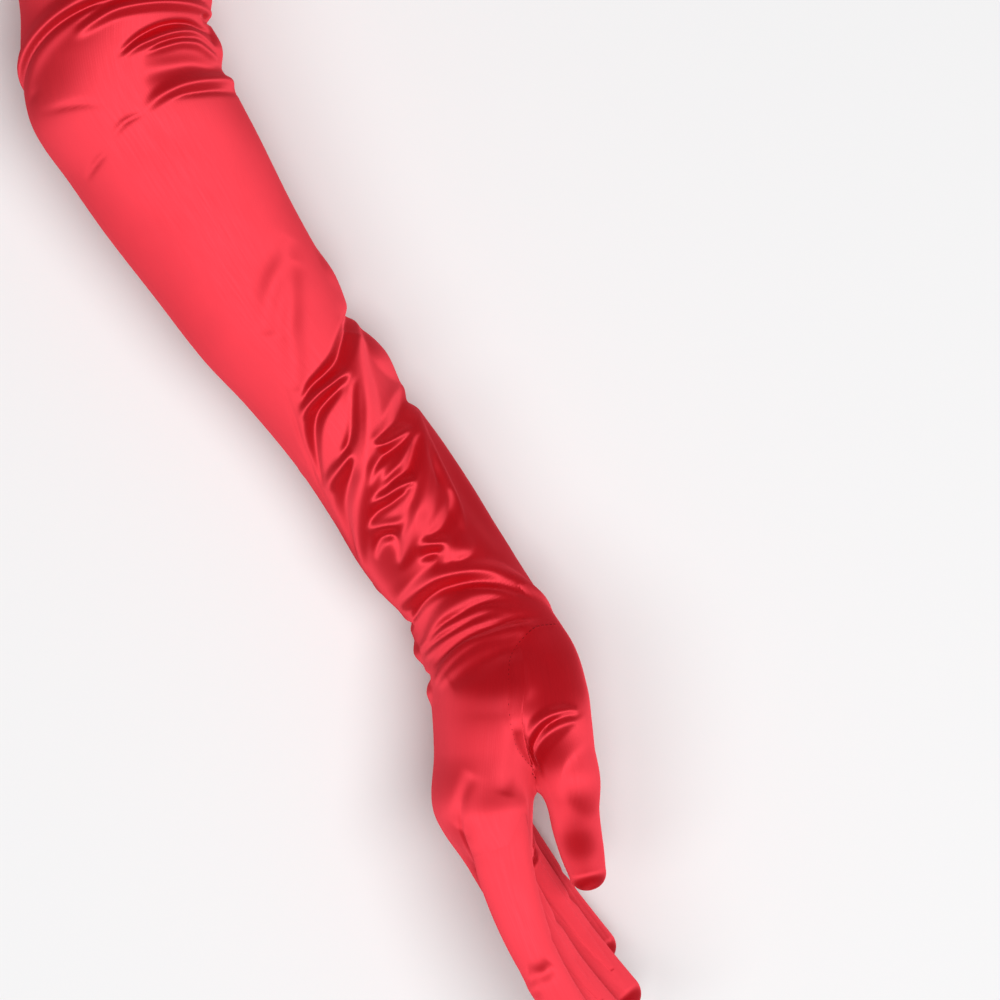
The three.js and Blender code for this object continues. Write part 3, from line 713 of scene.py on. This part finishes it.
MEAN_RADIUS = 30.0
sleeve_satin = satin("sleeve_satin")
angles = np.arange(ROUND) * 360 / ROUND
stations = spaced(STRETCHES)
plain = tube_surface(arm, stations[:, None], angles[None, :])

# The hand's end is closed with a blunt cap, which the fingers mostly hide.
middle_line = plain[-1].copy()
middle_line[:, 0] = arm["x"][-1] + HAND_BLUNTNESS
middle_line[:, 1] = arm["y"][-1]
cap = []
for a in np.linspace(0, math.pi / 2, CAP_ROWS + 1)[1:]:
    closing = np.array([math.sin(a) ** 3, 1 - math.cos(a), CAP_DROP * a])
    cap.append(plain[-1] + (middle_line - plain[-1]) * closing)
plain = np.concatenate([plain, cap])
row_station = np.concatenate([stations, HAND_END + np.linspace(*CAP_RUN, CAP_ROWS)])

# Past the wrist the skin is moved to the one shared with the thumb and fingers, tucked in where
# they take over, and cut away inside them.
shared = row_station > SHARED_FROM
sleeve_out = outward(plain)
away = distances(plain[shared], nearest_stations(plain[shared]))
in_thumb, in_fingers = away["thumb"], finger_distance(away)
skin, skin_out = onto_skin(plain[shared])
blend = smooth_step(SHARED_FROM, SHARED_FROM + SHARED_RUN, row_station[shared])[:, None, None]
plain[shared] += (skin - plain[shared]) * blend
sleeve_out[shared] += (skin_out - sleeve_out[shared]) * blend
sleeve_out /= np.linalg.norm(sleeve_out, axis=-1, keepdims=True)
at = tube_at(arm, np.minimum(row_station, HAND_END))
radius = ((at["half_width"] + at["half_depth"]) / 2)[:, None]
relief = fold_relief(row_station[:, None], angles[None, :], radius, ARM_FOLDS)
relief[shared] = arm_relief(plain[shared])
relief[shared] -= TUCK * smooth_step(*TUCK_RUN, in_thumb)
relief[shared] -= TUCK * smooth_step(*FINGERS_TAKE_OVER, plain[shared][..., 0])
relief[shared] -= EDGE_DIVE * smooth_step(*DIVE_AT_THUMB, in_thumb)
outside = plain + sleeve_out * relief[..., None]
outside[:-CAP_ROWS] = eased_rows(outside[:-CAP_ROWS], 1)
rows = len(row_station)
faces = grid_faces(rows, ROUND)
hidden = np.zeros((rows, ROUND), bool)
hidden[shared] = (in_thumb < CUT_INSIDE_THUMB) | (in_fingers < CUT_INSIDE_FINGERS)
faces = faces[~hidden.reshape(-1)[faces].any(1)]

# The inner wall lies close behind the cloth near the arm opening, and is set back further in,
# where the folds go deep.
inside_angles = np.arange(INSIDE_ROUND) * 360 / INSIDE_ROUND
inside_stations = np.arange(HEM_DEPTH, HAND_END - INSIDE_SHORT, INSIDE_STEP)
inside_gap = CLOTH + SET_BACK * smooth_step(SET_BACK_FROM, SET_BACK_FROM + SET_BACK_RUN, inside_stations)
inside = tube_surface(arm, inside_stations[:, None], inside_angles[None, :], proud=-inside_gap[:, None])
first_inside = rows * ROUND
inside_end = first_inside + len(inside_stations) * INSIDE_ROUND
all_faces = faces.tolist() + grid_faces(len(inside_stations), INSIDE_ROUND, first_inside, flip=True).tolist()
all_faces += ring_bridge(0, ROUND, first_inside, INSIDE_ROUND)
last_ring = inside_end - INSIDE_ROUND
all_faces += [[last_ring + (k + 1) % INSIDE_ROUND, last_ring + k, inside_end] for k in range(INSIDE_ROUND)]
points = np.concatenate([outside.reshape(-1, 3), inside.reshape(-1, 3), inside[-1].mean(0)[None]])
places = np.concatenate([
    twisted_places(row_station[:, None], angles[None, :]).reshape(-1, 2),
    cloth_places(inside_stations[:, None], inside_angles[None, :], MEAN_RADIUS).reshape(-1, 2),
    [[0, inside_stations[-1]]],
])
sleeve = cloth_object("sleeve_and_hand", points, all_faces, places, sleeve_satin, math.tau * MEAN_RADIUS)
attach(sleeve, "root")
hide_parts("upper_sleeve", "forearm_sleeve", "hand")


# Thumb: a tapered tube of the same satin, set into the oval hole at the side of the hand
# with a sewn seam, and drawn into a small fold where it meets the web.
THUMB_FOLDS = [
    ("ridge", 1.8, 1.7, [(38, 152), (33, 130), (26, 101), (23, 82), (22, 61), (23, 45)]),
    ("crease", 1.3, 1.5, [(41, 152), (36, 130), (29, 102), (26, 86), (25, 74)]),
    ("ridge", 2.3, 1.5, [(43, 148), (39, 131), (34, 112), (30, 91), (27, 68), (27, 50)]),
    ("crease", 2.0, 1.6, [(42, 168), (40, 152), (37, 128)]),
    ("dip", 4.0, 0.8, [(4, 88), (14, 74), (26, 52)]),
    ("ridge", 4.0, 0.9, [(2, 104), (10, 118), (18, 132)]),
    ("ridge", 9.0, 1.8, [(47, 96), (50, 62), (52, 20), (53, -30)]),
    ("dip", 2.0, 1.2, [(58, 250), (60, 280), (58, 310)]),
    ("dip", 2.0, 1.0, [(34, 220), (38, 250), (42, 290)]),
]
THUMB_ROUND = 120
THUMB_ROWS = 150
THUMB_RADIUS = 12.0
THUMB_SUNK_BY = 3.0
THUMB_INNER_GAP = 2.2
THUMB_LOSES_HAND_FOLDS = (0.5, 6)
SEAM_SEARCH = 75.0


def seam_stations(tube, inside_by, columns, depth):
    """For each angle of a tube, the last station at which its skin still lies so deep in the hand."""
    around = np.arange(columns) * 360 / columns
    search = np.arange(tube["station"][0], tube["station"][0] + SEAM_SEARCH, FINE)
    away = inside_by(tube_surface(tube, search[:, None], around[None, :])) + depth
    found = []
    for k in range(columns):
        sunk = np.nonzero(away[:, k] < 0)[0]
        last = sunk.max() if len(sunk) else 0
        a, b = away[last, k], away[min(last + 1, len(search) - 1), k]
        share = -a / (b - a) if b > a else 0
        found.append(search[last] + FINE * min(max(share, 0), 1))
    found = np.array(found)
    for _ in range(4):
        found = (np.roll(found, 1) + 2 * found + np.roll(found, -1)) / 4
    return around, found


def inside_hand(points):
    """Distance to the plain skin of the arm and hand, less than 0 inside it."""
    return distance_to_tube(arm, points, nearest_station(arm, points))


SHOWS_ABOVE = -2.8
BURIED_BELOW = -4.2
OWN_FOLDS_START = (-1, 3)
OWN_FOLDS_END = 4.0


def limb_skin(tube, station, angle, folds, hand_share, tuck_by, radius):
    """The skin of a thumb or finger, the way out of it and the height of its folds. Near the
    hand its own folds fade out, and the hand's folds run on over it. What lies buried deep
    inside the hand stays where it is."""
    plain = tube_surface(tube, station, angle)
    skin, out = onto_skin(plain)
    depth = skin_distance(plain, nearest_stations(plain))
    skin = plain + (skin - plain) * smooth_step(BURIED_BELOW, SHOWS_ABOVE, depth)[..., None]
    end = tube["station"][-1] + tube["tip"]
    fading = 1 - smooth_step(end - OWN_FOLDS_END, end, station)
    own = fading * smooth_step(*OWN_FOLDS_START, inside_hand(plain))
    relief = fold_relief(station, angle, radius, folds) * own
    relief += arm_relief(skin) * hand_share(plain) - tuck_by(plain)
    return skin, out, relief


TIP_CROWDING = 1.25
TIP_HOLE = 0.02
DIVE_RUN = 3.0
INNER_ROWS = 24
INNER_EVERY = 6
INNER_SHORT = 3.0


def limb(tube, around, start, rows, folds, inner_gap, hand_share, tuck_by, radius):
    """Grids for a thumb or finger from its seam to its tip: outer skin, inner wall, their places."""
    share = np.linspace(0, 1, rows)[:, None]
    end = tube["station"][-1] + tube["tip"]
    station = start[None, :] + (end - TIP_HOLE - start[None, :]) * (1 - (1 - share) ** TIP_CROWDING)
    angle = np.broadcast_to(around[None, :], station.shape)
    skin, out, relief = limb_skin(tube, station, angle, folds, hand_share, tuck_by, radius)
    relief -= EDGE_DIVE * (1 - smooth_step(0, DIVE_RUN, station - start[None, :]))
    outer = skin + out * relief[..., None]
    inner_share = np.linspace(0, 1, INNER_ROWS)[:, None]
    inner_start = start[None, ::INNER_EVERY]
    inner_station = inner_start + (end - INNER_SHORT - inner_start) * inner_share
    inner_angle = np.broadcast_to(around[None, ::INNER_EVERY], inner_station.shape)
    inner = tube_surface(tube, inner_station, inner_angle, proud=-inner_gap)
    outer_places = cloth_places(station, angle, radius)
    inner_places = cloth_places(inner_station, inner_angle, radius)
    return outer, inner, outer_places, inner_places


def limb_object(name, outer, inner, outer_places, inner_places, material, girth):
    """A thumb or finger from its grids, open at the seam and closed at the tip."""
    rows, columns = outer.shape[:2]
    inner_rows, inner_columns = inner.shape[:2]
    first_inner = rows * columns
    tips = first_inner + inner_rows * inner_columns
    last, inner_last = (rows - 1) * columns, first_inner + (inner_rows - 1) * inner_columns
    faces = grid_faces(rows, columns).tolist()
    faces += grid_faces(inner_rows, inner_columns, first_inner, flip=True).tolist()
    faces += ring_bridge(0, columns, first_inner, inner_columns)
    faces += [[last + k, last + (k + 1) % columns, tips] for k in range(columns)]
    faces += [[inner_last + (k + 1) % inner_columns, inner_last + k, tips + 1] for k in range(inner_columns)]
    points = np.concatenate([outer.reshape(-1, 3), inner.reshape(-1, 3),
                             [outer[-1].mean(0), inner[-1].mean(0)]])
    places = np.concatenate([outer_places.reshape(-1, 2), inner_places.reshape(-1, 2),
                             [outer_places[-1].mean(0), inner_places[-1].mean(0)]])
    return cloth_object(name, points, faces, places, material, girth)


def thumb_hand_share(points):
    return 1 - smooth_step(*THUMB_LOSES_HAND_FOLDS, inside_hand(points))


def thumb_tuck(points):
    return TUCK * smooth_step(*TUCK_RUN, inside_hand(points))


around, start = seam_stations(thumb_tube, inside_hand, THUMB_ROUND, THUMB_SUNK_BY)
grids = limb(thumb_tube, around, start, THUMB_ROWS, THUMB_FOLDS, THUMB_INNER_GAP, thumb_hand_share,
             thumb_tuck, THUMB_RADIUS)
thumb = limb_object("thumb_piece", *grids, sleeve_satin, math.tau * THUMB_RADIUS)
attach(thumb, "root")
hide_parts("thumb")


# Thumb seam stitches: a row of short stitches of dark red thread, which sews the thumb piece
# into its hole. Each stitch dips into the cloth at both ends and is thickest in its middle.
THUMB_STITCHES = {"pitch": 2.0, "length": 1.25, "thick": 0.34}
STITCH_RINGS = {
    "along": (-0.5, -0.3, 0, 0.3, 0.5),
    "size": (0.3, 0.9, 1, 0.9, 0.3),
    "lift": (-0.14, 0.02, 0.06, 0.02, -0.14),
}
STITCH_SIDES = 6
thread = bpy.data.materials.new("dark_red_thread")
thread.use_nodes = True
thread_shader = thread.node_tree.nodes["Principled BSDF"]
thread_shader.inputs["Base Color"].default_value = (0.24, 0.004, 0.008, 1)
thread_shader.inputs["Roughness"].default_value = 0.7
thread_shader.inputs["Specular IOR Level"].default_value = 0.1


def stitch_row(name, line, out, pitch, length, thick):
    """A row of short raised stitches along a line of points, with the way out at each of them."""
    run = np.concatenate([[0], np.cumsum(np.linalg.norm(np.diff(line, axis=0), axis=1))])
    middles = np.arange(pitch / 2, run[-1] - length / 2, pitch)
    at = middles[:, None] + length * np.array(STITCH_RINGS["along"])[None, :]
    spot = np.stack([np.interp(at, run, line[:, i]) for i in range(3)], -1)
    up = np.stack([np.interp(at, run, out[:, i]) for i in range(3)], -1)
    side = np.cross(up, np.gradient(spot, axis=1))
    side /= np.linalg.norm(side, axis=-1, keepdims=True)
    turn = np.radians(np.arange(STITCH_SIDES) * 360 / STITCH_SIDES)[None, None, :, None]
    size = thick / 2 * np.array(STITCH_RINGS["size"])[None, :, None, None]
    lift = np.array(STITCH_RINGS["lift"])[None, :, None, None]
    raised = up[:, :, None] * (lift + size * np.sin(turn))
    points = spot[:, :, None] + raised + side[:, :, None] * size * np.cos(turn)
    rings = at.shape[1]
    stitch_faces = []
    for first in range(0, len(at) * rings * STITCH_SIDES, rings * STITCH_SIDES):
        stitch_faces += grid_faces(rings, STITCH_SIDES, first).tolist()
        stitch_faces.append([first + k for k in range(STITCH_SIDES)][::-1])
        stitch_faces.append([first + (rings - 1) * STITCH_SIDES + k for k in range(STITCH_SIDES)])
    along = np.broadcast_to(at[:, :, None], at.shape + (STITCH_SIDES,)).reshape(-1)
    return cloth_object(name, points.reshape(-1, 3), stitch_faces, np.stack([0 * along, along], -1), thread,
                        math.tau * MEAN_RADIUS)


AIM_SHARE = 0.7


def on_arm_skin(station, angle):
    """Skin points whose place on the arm is the given one, and the way out at each of them."""
    aim_station, aim_angle = station.copy(), angle.copy()
    for _ in range(4):
        skin, out = onto_skin(tube_surface(arm, aim_station, aim_angle))
        found_station, found_angle = place_on_tube(arm, skin)
        aim_station += AIM_SHARE * (station - found_station)
        aim_angle += AIM_SHARE * ((angle - found_angle + 180) % 360 - 180)
    return skin, out


SEAM_LINE_POINTS = 60
seam_route = np.array(THUMB_SEAM[3], float)
seam_knots = np.arange(len(seam_route))
seam_steps = np.linspace(1, len(seam_route) - 2, SEAM_LINE_POINTS)
seam_station = spline_through(seam_knots, seam_route[:, 0], seam_steps)
seam_angle = spline_through(seam_knots, seam_route[:, 1], seam_steps)
seam_line, seam_out = on_arm_skin(seam_station, seam_angle)
seam_line += seam_out * arm_relief(seam_line)[:, None]
thumb_stitches = stitch_row("thumb_seam_stitches", seam_line, seam_out, **THUMB_STITCHES)
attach(thumb_stitches, "root")


# Fingers: the backs and palm sides are cut in one with the hand and run on from it, closed
# round the tip, and sewn to the forked strips.
FINGER_ROUND = 96
FINGER_ROWS = 96
FINGER_RADIUS = 8.8
FINGER_SUNK_BY = 1.2
FINGER_INNER_GAP = 1.6
FINGER_FOLDS = {
    "index": [
        ("dip", 3.0, 0.6, [(62, 60), (64, 90), (62, 130)]),
        ("ridge", 2.6, 0.6, [(66, 120), (68, 150), (66, 185)]),
        ("dip", 2.4, 0.9, [(52, 10), (55, -20), (54, -50)]),
    ],
    "middle": [("dip", 2.4, 0.9, [(46, 20), (49, -10), (48, -40)])],
    "ring": [("dip", 2.4, 0.9, [(44, 20), (47, -10), (46, -40)])],
    "little": [("dip", 2.2, 0.8, [(38, 20), (41, -10), (40, -40)])],
}
FORK_ANGLES = {"under": 292, "over": 62}
FORKED_SIDES = {
    "index": ["under"],
    "middle": ["over", "under"],
    "ring": ["over", "under"],
    "little": ["over"],
}
FORK_SEAM = {"station": (2, 40, 62, 82), "from_middle": (26, 26, 22, 9)}
for finger_name, forked_sides in FORKED_SIDES.items():
    for forked_side in forked_sides:
        for side in (-1, 1):
            route = [(station, FORK_ANGLES[forked_side] + side * away_by)
                     for station, away_by in zip(FORK_SEAM["station"], FORK_SEAM["from_middle"])]
            FINGER_FOLDS[finger_name].append(("crease", 0.7, 0.42, route))


# Along x: where the fingers' own skin starts, stops being tucked in and loses the hand's folds.
FINGERS_SHOW_FROM = 426.0
FINGERS_TUCKED_TO = 434.0
FINGERS_LOSE_HAND_FOLDS = (444, 456)


def finger_hand_share(points):
    return 1 - smooth_step(*FINGERS_LOSE_HAND_FOLDS, points[..., 0])


def finger_root_tuck(points):
    return TUCK * (1 - smooth_step(FINGERS_SHOW_FROM, FINGERS_TUCKED_TO, points[..., 0]))


for finger_name, tube in finger_tubes.items():
    around, start = seam_stations(tube, inside_hand, FINGER_ROUND, FINGER_SUNK_BY)
    start = np.minimum(start, np.interp(FINGERS_SHOW_FROM, tube["x"], tube["station"]))
    grids = limb(tube, around, start, FINGER_ROWS, FINGER_FOLDS[finger_name], FINGER_INNER_GAP,
                 finger_hand_share, finger_root_tuck, FINGER_RADIUS)
    piece = limb_object(f"{finger_name}_finger_satin", *grids, sleeve_satin, math.tau * FINGER_RADIUS)
    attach(piece, "root")
    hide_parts(f"{finger_name}_finger")


# Forked strips: narrow bands of the same satin sewn between neighbouring fingers. Each forks
# at the crotch and runs up the side of both fingers, tapering short of the tips.
FORK_WIDTH = 8.0
FORK_TAPERED_WIDTH = 2.4
FORK_SHORT = 14.0
FORK_ROWS = 90
FORK_TAPER_FROM = 0.5
FORK_ENDS_SINK = (0.08, 0.94)
FORK_SECTION = {
    "across": (-1, -0.95, -0.84, -0.5, 0, 0.5, 0.84, 0.95, 1, 0.5, -0.5),
    "proud": (-0.5, 0.03, 0.16, 0.18, 0.18, 0.18, 0.16, 0.03, -0.5, -1.0, -1.0),
}
fork_satin = satin("fork_satin", roughness=0.6)


def fork_leg(finger_name, middle_angle):
    """Points and places of one leg of a strip, as a grid with its section all the way round."""
    tube = finger_tubes[finger_name]
    first = np.interp(FINGERS_SHOW_FROM, tube["x"], tube["station"])
    last = tube["station"][-1] + tube["tip"] - FORK_SHORT
    share = np.linspace(0, 1, FORK_ROWS)[:, None]
    station = first + (last - first) * share
    width = FORK_WIDTH + (FORK_TAPERED_WIDTH - FORK_WIDTH) * smooth_step(FORK_TAPER_FROM, 1, share)
    sinking_out = smooth_step(FORK_ENDS_SINK[1], 1, share)
    sunk = EDGE_DIVE * (1 - smooth_step(0, FORK_ENDS_SINK[0], share) + sinking_out)
    across = width / 2 * np.array(FORK_SECTION["across"])[None, :]
    angle = middle_angle + np.degrees(across / FINGER_RADIUS)
    station = np.broadcast_to(station, angle.shape)
    skin, out, relief = limb_skin(tube, station, angle, FINGER_FOLDS[finger_name], finger_hand_share,
                                  finger_root_tuck, FINGER_RADIUS)
    points = skin + out * (relief + np.array(FORK_SECTION["proud"]) - sunk)[..., None]
    return points.reshape(-1, 3), np.stack([across, station], -1).reshape(-1, 2)


finger_names = list(FINGERS)
for upper, lower in zip(finger_names, finger_names[1:]):
    legs = [fork_leg(upper, FORK_ANGLES["under"]), fork_leg(lower, FORK_ANGLES["over"])]
    columns = len(FORK_SECTION["across"])
    fork_faces = []
    for first in (0, FORK_ROWS * columns):
        fork_faces += grid_faces(FORK_ROWS, columns, first).tolist()
        fork_faces.append([first + k for k in range(columns)][::-1])
        fork_faces.append([first + (FORK_ROWS - 1) * columns + k for k in range(columns)])
    fork = cloth_object(f"fork_{upper}_{lower}", np.concatenate([leg[0] for leg in legs]), fork_faces,
                        np.concatenate([leg[1] for leg in legs]), fork_satin, math.tau * FINGER_RADIUS)
    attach(fork, "root")
    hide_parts(f"fourchette_{upper}_{lower}")


# Hem: the last 14 mm of the sleeve turned inside and stitched down, so its edge is a soft
# round fold and the cloth there is double.
HEM_PROUD = 0.5
HEM_INSIDE = 1.5
HEM_STEP = 1.3
HEM_ROUNDING = 1.0
HEM_FLAT_FROM = 2.2
HEM_EDGE = {"past": (0, 0.6, 0.6), "proud": (0.3, 0.05, -1.0)}
hem_satin = satin("hem_satin", roughness=0.61)
edge_turn = np.radians(np.linspace(-90, 90, 13))
edge = (HEM_INSIDE + HEM_PROUD) / 2 * np.sin(edge_turn) - (HEM_INSIDE - HEM_PROUD) / 2
edge_station = HEM_ROUNDING * (1 - np.cos(edge_turn))
hem_rows = [(s, -HEM_INSIDE) for s in np.arange(HEM_DEPTH, HEM_ROUNDING, -HEM_STEP)]
hem_rows += list(zip(edge_station, edge))
hem_rows += [(s, HEM_PROUD) for s in np.arange(HEM_FLAT_FROM, HEM_DEPTH, HEM_STEP)]
hem_rows += [(HEM_DEPTH + past, proud) for past, proud in zip(HEM_EDGE["past"], HEM_EDGE["proud"])]
hem_station = np.array([row[0] for row in hem_rows])[:, None]
hem_proud = np.array([row[1] for row in hem_rows])[:, None]
hem_grid = tube_surface(arm, hem_station, angles[None, :], proud=hem_proud)
rows, columns = hem_grid.shape[:2]
last = (rows - 1) * columns
hem_faces = grid_faces(rows, columns).tolist()
hem_faces += [[last + k, last + (k + 1) % columns, (k + 1) % columns, k] for k in range(columns)]
hem = cloth_object("turned_hem", hem_grid.reshape(-1, 3), hem_faces,
                   cloth_places(hem_station, angles[None, :], MEAN_RADIUS).reshape(-1, 2), hem_satin,
                   math.tau * MEAN_RADIUS)
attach(hem, "root")
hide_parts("hem")


# Hem stitches: one row of the same dark red thread all the way round, which holds the turned
# edge down from the outside.
HEM_STITCHES = {"pitch": 2.6, "length": 1.6, "thick": 0.34}
HEM_STITCHES_AT = 11.6
round_hem = np.append(angles, 360.0)
stitched_at = np.full(len(round_hem), HEM_STITCHES_AT)
hem_line = tube_surface(arm, stitched_at, round_hem, proud=HEM_PROUD)
hem_out = tube_surface(arm, stitched_at, round_hem, proud=HEM_PROUD + 1) - hem_line
hem_stitches = stitch_row("hem_stitches", hem_line, hem_out, **HEM_STITCHES)
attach(hem_stitches, "root")


# Table top: a plain pale surface, painted matt, that the glove lies on. It reaches well past
# the view on every side, and lies just clear of the cloth.
TABLE_DROP = 0.4 * MM
TABLE_REACH = 4.0
floor_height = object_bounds()[0][2] - TABLE_DROP
corner_signs = ((-1, -1), (1, -1), (1, 1), (-1, 1))
table_corners = [(x * TABLE_REACH, y * TABLE_REACH, floor_height) for x, y in corner_signs]
floor_mesh = bpy.data.meshes.new("table_top")
floor_mesh.from_pydata(table_corners, [], [(0, 1, 2, 3)])
floor = bpy.data.objects.new("table_top", floor_mesh)
bpy.context.scene.collection.objects.link(floor)
floor_paint = bpy.data.materials.new("table_paint")
floor_paint.use_nodes = True
paint_shader = floor_paint.node_tree.nodes["Principled BSDF"]
paint_shader.inputs["Base Color"].default_value = (0.9, 0.9, 0.905, 1)
paint_shader.inputs["Roughness"].default_value = 0.9
floor_mesh.materials.append(floor_paint)

# Studio light: one long soft light high over the glove, lying across the arm and leaning to
# the fingers, a weaker one beyond the outer side of the elbow, and a dim pale room.
world = bpy.data.worlds.new("pale_room")
world.use_nodes = True
room_light = world.node_tree.nodes["Background"]
room_light.inputs["Color"].default_value = (1, 1, 1, 1)
room_light.inputs["Strength"].default_value = 0.16
bpy.context.scene.world = world


def soft_light(name, towards_fingers, towards_palm, height, along, across, watts):
    """An oval softbox, placed in metres from the middle of the view and aimed at it."""
    lamp = bpy.data.lights.new(name, "AREA")
    lamp.shape = "ELLIPSE"
    lamp.size = along
    lamp.size_y = across
    lamp.energy = watts
    light = bpy.data.objects.new(name, lamp)
    light.location = VIEW_CENTRE + Vector((towards_fingers, towards_palm, height))
    aim = VIEW_CENTRE - light.location
    light.rotation_euler = Vector((0, 0, -1)).rotation_difference(aim).to_euler()
    light.visible_camera = False
    bpy.context.scene.collection.objects.link(light)


soft_light("overhead_softbox", towards_fingers=0.50, towards_palm=0.25, height=2.4, along=0.9,
           across=2.2, watts=49)
soft_light("outer_side_softbox", towards_fingers=-0.10, towards_palm=-1.15, height=2.0, along=0.8,
           across=1.4, watts=11)
bpy.context.scene.view_settings.view_transform = "Standard"
